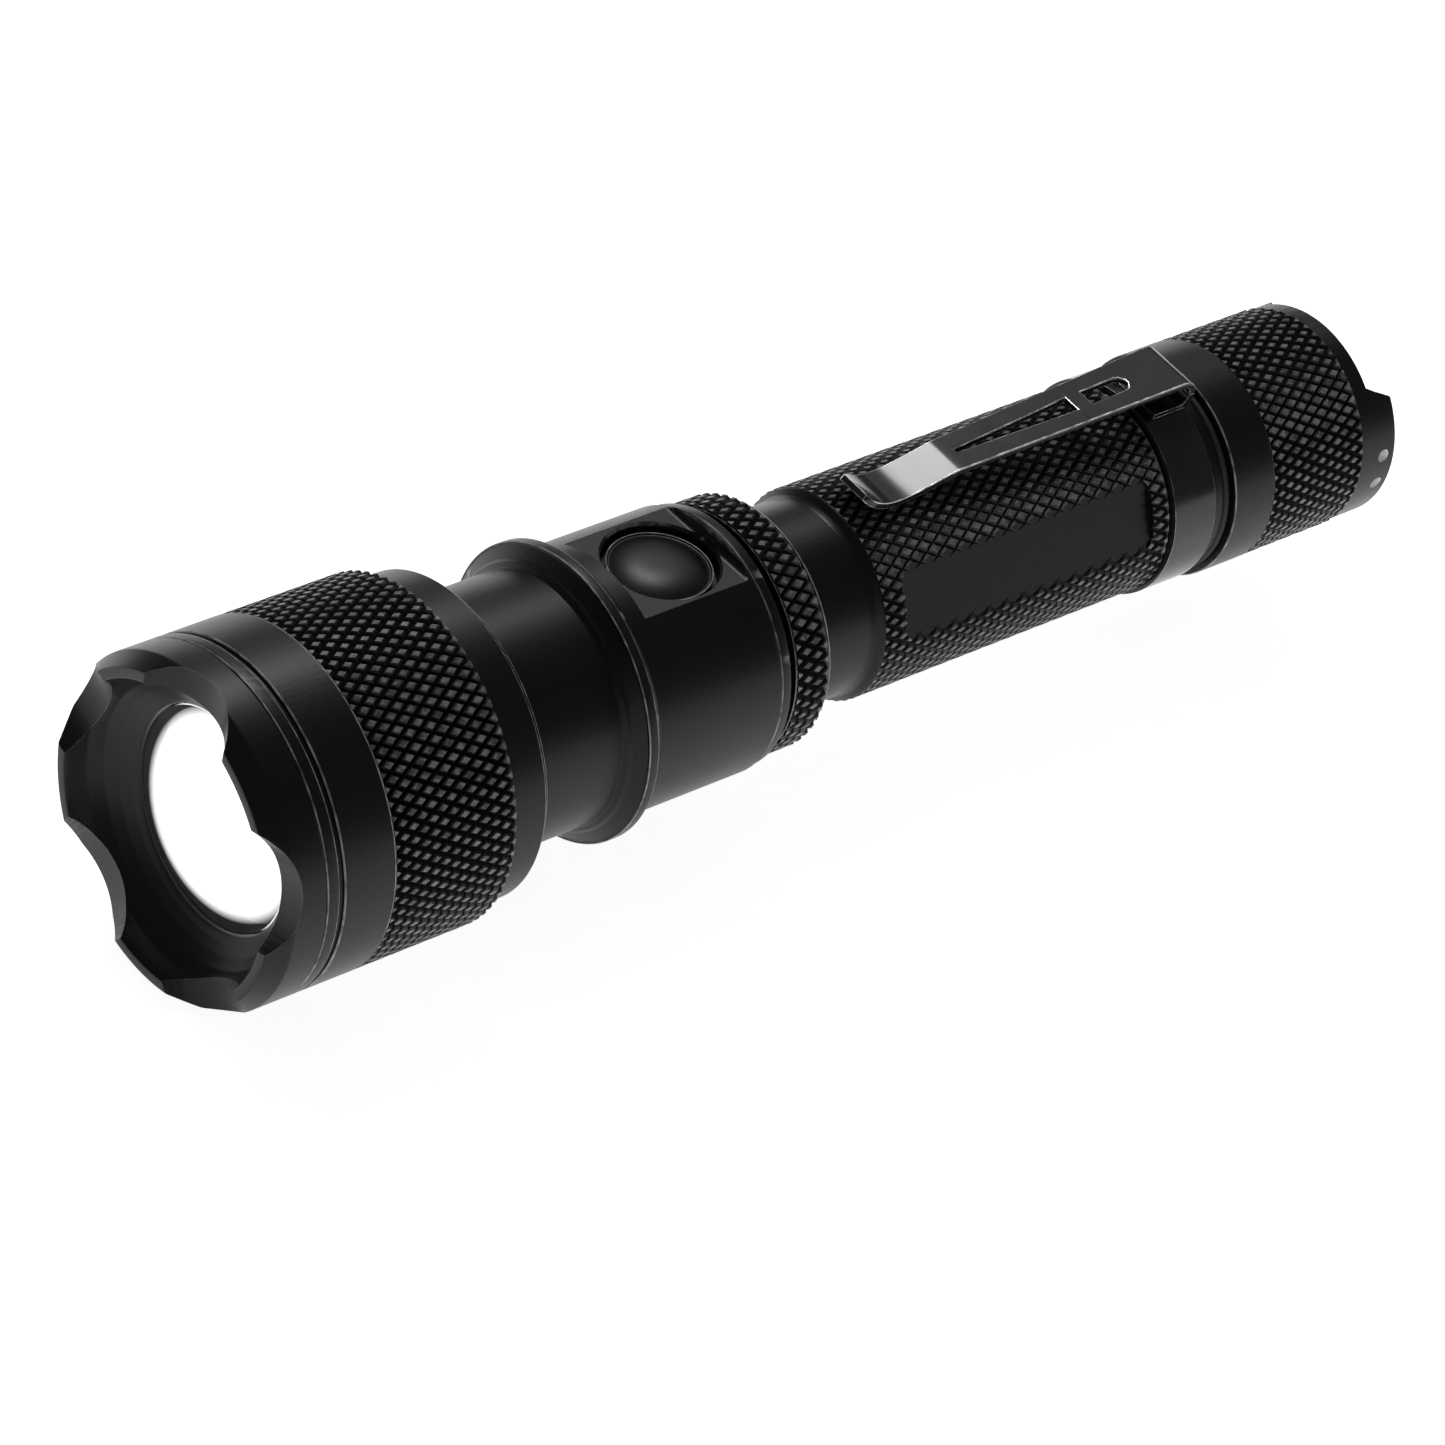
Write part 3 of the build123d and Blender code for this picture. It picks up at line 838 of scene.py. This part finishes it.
def make_switch_housing():
    body_radius = 15.55
    flat_edge = math.acos(FLAT_HEIGHT / body_radius)
    angles = sorted(even_angles() + [flat_edge, 2 * math.pi - flat_edge])
    outline = [
        (45, 10.9),
        (40.5, 10.9),
        (40.5, 12.45),
        (30.2, 12.45),
        (30.2, 13.6),
        (33.4, 13.6),
        (33.4, 14.7),
        (49.9, 14.7),
        (50.3, 15.3),
        (50.7, 15.5),
        (51.7, 16.9),
        (51.7, 17.2),
        (53.0, 17.2),
        (53.0, 16.3),
        (54.4, body_radius),
        (56.59, body_radius),
        (56.6, body_radius),
        *[(70.7 + 0.15 * k, body_radius) for k in range(6)],
        (71.6, body_radius),
        (71.7, body_radius - 0.35),
        (71.9, body_radius - 0.35),
        (72.0, body_radius - 0.2),
        (73.3, body_radius - 0.3),
        (73.3, 10.9),
        (45, 10.9),
    ]
    housing = from_shell("switch_housing", turned(outline, angles=angles, shape=flattened))
    housing = combine(housing, [button_recess(), plunger_bore()])
    ease_edges(housing, 0.06, on_flat, 24)
    show(housing, "switch_housing", "anodised_edge_scuffs_and_highlight", 12)
    refinish(housing, "black_anodised_milled", lambda face: on_flat(face.center))
    highlight_rims_and_scuffs(housing, (51.7, 17.2), (53.0, 17.2), (72.0, body_radius - 0.2))


def button_recess():
    """A round pocket whose wall shows the cutter's steps."""
    wall = [(11.8 + 0.25 * k, 6.6 - 0.03 * (k % 2)) for k in range(7)]
    shell = Shell(even_angles(160), place_upright)
    mouth = [(13.45, 6.6), (13.82, 6.85), (16.5, 6.85), (16.5, 0)]
    shell.follow([(11.5, 0), (11.5, 6.45), *wall, *mouth])
    return from_shell("recess", shell)


def plunger_bore():
    centre = place_upright(9, 0, 0)
    return rod("bore", centre, Vector((0, 0, 1)), 2.2, 6)


def make_side_button():
    """A shallow dome with a rounded rim, on its plunger."""
    shoulder = 5.55
    top = 13.75
    rise = 0.95
    steps = 24
    dome = [(top - rise * (k / steps) ** 3, shoulder * k / steps) for k in range(steps + 1)]
    side = soften([
        (top - rise, shoulder),
        (12.8, 5.7),
        (13.0, 5.85),
        (12.95, 6.0),
        (12.6, 6.0),
        (12.6, 1.8),
        (9.9, 1.8),
        (9.9, 0),
    ], 0.12)
    shell = Shell(even_angles(160), place_upright)
    shell.follow(dome + side[1:])
    button = show(from_shell("side_button_cap", shell), "side_button", "anodised_edge_scuffs_and_highlight")
    button.data.materials[0] = FINISHES["black_anodised_milled"]
    # The rim's top faces get the bright edge material: a painted highlight round the rim, with
    # scuffs.
    axis = place_upright(0, 0, 0)
    for face in button.data.polygons:
        reach = math.hypot(face.center.x - axis.x, face.center.y - axis.y)
        if reach > 5.8 * MM and face.center.z > axis.z + 12.9 * MM:
            face.material_index = 1


# ---------------------------------------------------------------- battery tube

def threaded(station, radius, angle):
    """Cuts the rear thread's grooves into the tube behind its last land."""
    first, last = 141.9, 150.0
    if not first < station < last or radius < 11.5:
        return radius
    turn = (station / THREAD_PITCH - angle / (2 * math.pi)) % 1
    depth = 0.45 * min(1, station - first, last - station)
    return radius - depth * min(1, max(0, 2.6 * abs(turn - 0.5) - 0.25))


def tube_thread_rows():
    step = THREAD_PITCH / 8
    return [(141.6 + step * k, 11.6) for k in range(46)]


def make_battery_tube():
    before = [
        (100, 9.7),
        (69.3, 9.7),
        (69.3, 10.8),
        (73.4, 10.8),
        (73.4, 11.6),
        (78.0, 11.6),
        (80.1, 11.9),
        (81.1, 11.5),
        (88.1, 11.5),
        (88.75, 11.75),
        (89.3, 12.35),
        (89.5, 12.42),
    ]
    after = [
        (132.8, 12.2),
        (132.9, 12.1),
        (139.7, 12.1),
        (139.7, 12.45),
        (141.3, 12.45),
        (141.3, 11.6),
    ]
    rear_end = [(150.3, 11.6), (150.5, 11.3), (150.5, 9.7), (100, 9.7)]
    shell = Shell(angles=knurl_angles(51))
    first, start = shell.follow(soften(before))
    end = Knurl(shell, GRIP_KNURL, 33, 51, 12.49, 0.36).build(start)
    shell.shape = threaded
    rows = soften(after) + tube_thread_rows() + rear_end
    last = shell.follow(rows, start=end)[1]
    shell.bridge(last, first)
    tube = combine(from_shell("battery_tube_knurled", shell), [pad_cutter()])
    tube = combine(tube, [knurled_collar()], "UNION")
    show(tube, "battery_tube")
    highlight_rims_and_scuffs(tube, (74.75, 14.5), (79.8, 14.2), (80.1, 13.9), (132.8, 12.2))
    smooth_outside(tube, COLLAR_KNURL, GRIP_KNURL)
    refinish(tube, "black_anodised_milled", on_pad)


def on_pad(face):
    """Whether a face belongs to the flat pad."""
    axis = place(0, 0, PAD_ANGLE)
    outward = (place(0, 1, PAD_ANGLE) - axis).normalized()
    height = (face.center - axis).dot(outward)
    return face.normal.dot(outward) > 0.999 and abs(height - PAD_HEIGHT * MM) < 0.01 * MM


def pad_cutter():
    """The smooth flat pad with rounded corners."""
    across = PAD_HALF_WIDTH - PAD_CORNER
    first = PAD_STATIONS[0] + PAD_CORNER
    last = PAD_STATIONS[1] - PAD_CORNER
    centres = [(across, last), (-across, last), (-across, first), (across, first)]
    outline = []
    for quarter, centre in enumerate(centres):
        outline += arc(centre, PAD_CORNER, 90 * quarter, 90 * quarter + 90, 8)
    return prism("pad", outline, PAD_HEIGHT, 14, PAD_ANGLE)


def knurled_collar():
    """The knurled ring in front of the plain neck."""
    before = [
        (76, 11.0),
        (74.6, 11.0),
        (74.6, 14.35),
        (74.75, 14.5),
    ]
    after = [
        (79.2, 14.3),
        (79.8, 14.2),
        (80.1, 13.9),
        (80.1, 12.3),
        (81.0, 11.3),
        (81.0, 11.0),
        (76, 11.0),
    ]
    shell = knurled(before, after, COLLAR_KNURL, 3, 56, 14.79, 0.5)
    return from_shell("collar", shell)


# ---------------------------------------------------------------- pocket clip

def window_half(station):
    """Half the width of the clip's windows, kept on past their ends for the mesh's columns."""
    front, rear = LONG_WINDOW
    if station <= rear:
        share = (max(station, front) - front) / (rear - front)
        return 0.25 + (WINDOW_HALF - 0.25) * share
    waist = SHORT_WINDOW[1] - WINDOW_HALF
    if station <= waist:
        return WINDOW_HALF
    beyond = min(station - waist, WINDOW_HALF)
    return max(0.25, math.sqrt(max(0, WINDOW_HALF**2 - beyond**2)))


def in_window(station):
    return any(first < station < last for first, last in (LONG_WINDOW, SHORT_WINDOW))


def arm_half(station):
    """Half the width of the clip's arm."""
    tip, corner = 91.0, 1.8
    if station < tip + corner:
        into = (tip + corner - max(station, tip)) / corner
        return 2.7 - corner + corner * math.sqrt(1 - 0.95 * into**2)
    share = (min(station, FOLD_CENTRE[0]) - ARM_BEND[0]) / (FOLD_CENTRE[0] - ARM_BEND[0])
    return 2.7 + 0.9 * max(0, share)


def arm_line():
    """The middle of the arm's sheet, from the fold's seam to the turned-up tip."""
    top = FOLD_CENTRE[1] + FOLD_RADIUS
    start, bend = FOLD_CENTRE[0], ARM_BEND[0]
    stations = [start - 0.5 * k for k in range(1, int((start - bend) / 0.5))]
    ends = [edge for window in (LONG_WINDOW, SHORT_WINDOW) for edge in window]
    stations = sorted(set(stations + ends), reverse=True)
    slope = (top - ARM_BEND[1]) / (start - bend)
    line = arc(FOLD_CENTRE, FOLD_RADIUS, 2, 90, 10)
    line += [(station, top - slope * (start - station)) for station in stations]
    line += [ARM_BEND, (104.6, 14.38), (103.9, 14.24), (101.6, 13.75), (99.5, 13.35), (98.2, 13.15)]
    line += [(97.2, 13.06), (96.3, 13.03), (95.4, 13.08), (94.5, 13.25), (93.7, 13.52)]
    return line + [(92.9, 13.9), (92.2, 14.32), (91.6, 14.78), (91.3, 15.1)]


def thicken(made, thickness):
    solid = made.modifiers.new("thickness", "SOLIDIFY")
    solid.thickness = thickness * MM
    solid.offset = 0
    solid.use_even_offset = True
    apply_modifiers(made)
    return made


def make_clip_arm():
    rows = arm_line()
    points = []
    for station, height in rows:
        outer, inner = arm_half(station), window_half(station)
        points += [
            place_turned(across, station, height, CLIP_ANGLE)
            for across in (-outer, -inner, inner, outer)
        ]
    faces = []
    for k in range(len(rows) - 1):
        middle = (rows[k][0] + rows[k + 1][0]) / 2
        for column in range(3):
            if column == 1 and in_window(middle):
                continue
            a = 4 * k + column
            faces.append((a, a + 1, a + 5, a + 4))
    arm = thicken(mesh_object("clip_spring_arm", points, faces), CLIP_THICKNESS)
    show(ease_edges(arm, 0.13, bend=50), "clip_arm", "clip_edge_scuffs_and_highlight")


def make_clip_band():
    """An open ring in the tube's groove, with the lower half of the fold on top."""
    gap = math.asin(5.5 / 12.6)
    steps = 150
    sweep = 2 * math.pi - 2 * gap
    points = []
    for k in range(steps + 1):
        angle = math.pi + gap + sweep * k / steps
        points += [place(station, BAND_RADIUS, angle) for station in BAND_STATIONS]
    faces = [(2 * k, 2 * k + 1, 2 * k + 3, 2 * k + 2) for k in range(steps)]
    band = thicken(mesh_object("clip_ring_band", points, faces), BAND_THICKNESS)
    combine(band, [clip_tongue()], "UNION")
    show(ease_edges(band, 0.1, bend=50), "clip_band", "clip_edge_scuffs_and_highlight")


def clip_tongue():
    """The strip that rises from the band into the lower half of the fold."""
    line = [(134.6, FOLD_CENTRE[1] - FOLD_RADIUS)] + arc(FOLD_CENTRE, FOLD_RADIUS, -90, -2, 10)
    points = [
        place_turned(across, station, height, CLIP_ANGLE)
        for station, height in line
        for across in (-3.6, 3.6)
    ]
    faces = [(2 * k, 2 * k + 1, 2 * k + 3, 2 * k + 2) for k in range(len(line) - 1)]
    return thicken(mesh_object("tongue", points, faces), CLIP_THICKNESS)


# ---------------------------------------------------------------- tail

def ear_gap_prism():
    """Clears the boot from above and below and leaves an ear on each side."""
    side = [(9.0, 165.2), (9.5, 166.3), (10.3, 168.5), (10.3, 169.5)]
    corners = side + [(-across, station) for across, station in reversed(side)]
    return prism("ear_gap", corners, -15, 15)


def lanyard_centres():
    return [place_turned(11.5 * side, 166.7, level, 0) for side in (-1, 1) for level in (-2, 2)]


def lanyard_rods():
    return [rod("lanyard", centre, Vector((1, 0, 0)), 0.8, 8, 40) for centre in lanyard_centres()]


def in_lanyard_hole(mesh, face):
    """Whether a face is on the bare wall of a hole drilled after the cap was anodised; these walls
    are painted near-white, standing in for the white backdrop seen through the holes.
    """
    corners = [mesh.vertices[k].co for k in face.vertices]
    return abs(face.normal.x) < 0.2 and any(
        all(math.hypot(corner.y - centre.y, corner.z - centre.z) < 0.9 * MM for corner in corners)
        for centre in lanyard_centres()
    )


def make_tail_cap():
    before = [
        (147, 11.7),
        (142.36, 11.7),
        (142.36, 13.4),
        (148.45, 13.4),
        (148.6, 13.33),
    ]
    after = [
        (163.1, 13.2),
        (168.5, 13.2),
        (168.5, 7.6),
        (161.5, 7.6),
        (161.5, 10.4),
        (151.6, 10.4),
        (151.6, 11.7),
        (147, 11.7),
    ]
    shell = knurled(before, after, CAP_KNURL, 11, 54, 13.39, 0.48)
    cap = combine(from_shell("tail_cap_knurled", shell), [ear_gap_prism(), *lanyard_rods()])
    behind_knurl = TIP + 164.2 * MM
    ease_edges(cap, 0.12, lambda point: point.y > behind_knurl)
    show(cap, "tail_cap", "anodised_edge_scuffs_and_highlight")
    # The hole walls are painted near-white: painted light standing in for the backdrop seen through
    # the holes.
    refinish(cap, "drilled_wall_painted_backdrop", lambda face: in_lanyard_hole(cap.data, face))
    highlight_rims_and_scuffs(cap, (142.36, 13.4))
    smooth_outside(cap, CAP_KNURL)


def make_tail_boot():
    """A rubber dome with three shallow rings for the thumb."""
    dome = []
    steps = 48
    for k in range(steps + 1):
        radius = 6.6 * (1 - k / steps)
        ridge = 0.09 * (1 + math.cos(2 * math.pi * radius / 1.5)) if 1 < radius < 6.2 else 0.05
        dome.append((166.35 + 0.8 * (1 - (radius / 6.6) ** 2.4) + ridge, radius))
    outline = soften([(161.45, 0), (161.45, 2.5), (165.0, 2.8), (165.2, 6.15), (163.8, 6.35),
                      (163.8, 7.35), (165.5, 7.35), (166.1, 7.1)])
    shell = Shell()
    shell.follow(outline + dome)
    show(from_shell("tail_rubber_boot", shell), "tail_boot")


# ---------------------------------------------------------------- the whole

def make_light():
    make_finishes()
    make_bezel()
    make_lens()
    make_head_shell()
    make_rear_ring()
    make_zoom_arrow(-1)
    make_zoom_arrow(1)
    make_switch_housing()
    make_side_button()
    make_battery_tube()
    make_clip_band()
    make_clip_arm()
    make_tail_cap()
    make_tail_boot()
    for name, node in frame["nodes"].items():
        if not node.hide_render:
            node.material_slots[0].material = FINISHES[SLOT_OF[name]]


def add_area_light(name, position, target, size, power):
    data = bpy.data.lights.new(name, "AREA")
    data.shape = "RECTANGLE"
    data.size, data.size_y = size
    data.energy = power
    lamp = bpy.data.objects.new(name, data)
    bpy.context.scene.collection.objects.link(lamp)
    lamp.location = position
    lamp.rotation_mode = "QUATERNION"
    lamp.rotation_quaternion = (Vector(target) - Vector(position)).to_track_quat("-Z", "Y")


def make_studio():
    """A white paper floor under soft lights."""
    half = 6.0
    corners = [(-half, -half, 0), (half, -half, 0), (half, half, 0), (-half, half, 0)]
    floor = mesh_object("floor", corners, [(0, 1, 2, 3)])
    floor.data.materials.append(floor_paper("floor_paper"))
    add_area_light("low_left", (-0.9, 0.62, 0.08), (0, 0, 0.02), (1.3, 0.16), 0.7)
    add_area_light("high_left", (-0.62, 0.62, 0.8), (0, 0, 0), (0.9, 0.6), 0.8)
    add_area_light("overhead", (-0.55, 0.36, 1.0), (0, 0, 0), (0.34, 0.34), 5.5)
    world = bpy.data.worlds.new("studio")
    world.use_nodes = True
    world.node_tree.nodes["Background"].inputs["Color"].default_value = (1, 1, 1, 1)
    world.node_tree.nodes["Background"].inputs["Strength"].default_value = 0.12
    bpy.context.scene.world = world
    bpy.context.scene.view_settings.view_transform = "Standard"


def make_camera():
    """A long lens looks down on the head's right-hand side, with the horizon tilted."""
    data = bpy.data.cameras.new("camera")
    data.lens = 165.9
    data.sensor_width = 36
    camera = bpy.data.objects.new("camera", data)
    bpy.context.scene.collection.objects.link(camera)
    right = Vector((0.624, 0.76235, 0.170))
    up = Vector((-0.569, 0.29535, 0.767))
    back = Vector((0.5345, -0.57584, 0.6185))
    turn = Matrix((right, up, back)).transposed()
    camera.rotation_mode = "QUATERNION"
    camera.rotation_quaternion = turn.to_quaternion()
    camera.location = (0.3991, -0.4345, 0.4668)
    bpy.context.scene.camera = camera


make_light()
make_studio()
make_camera()
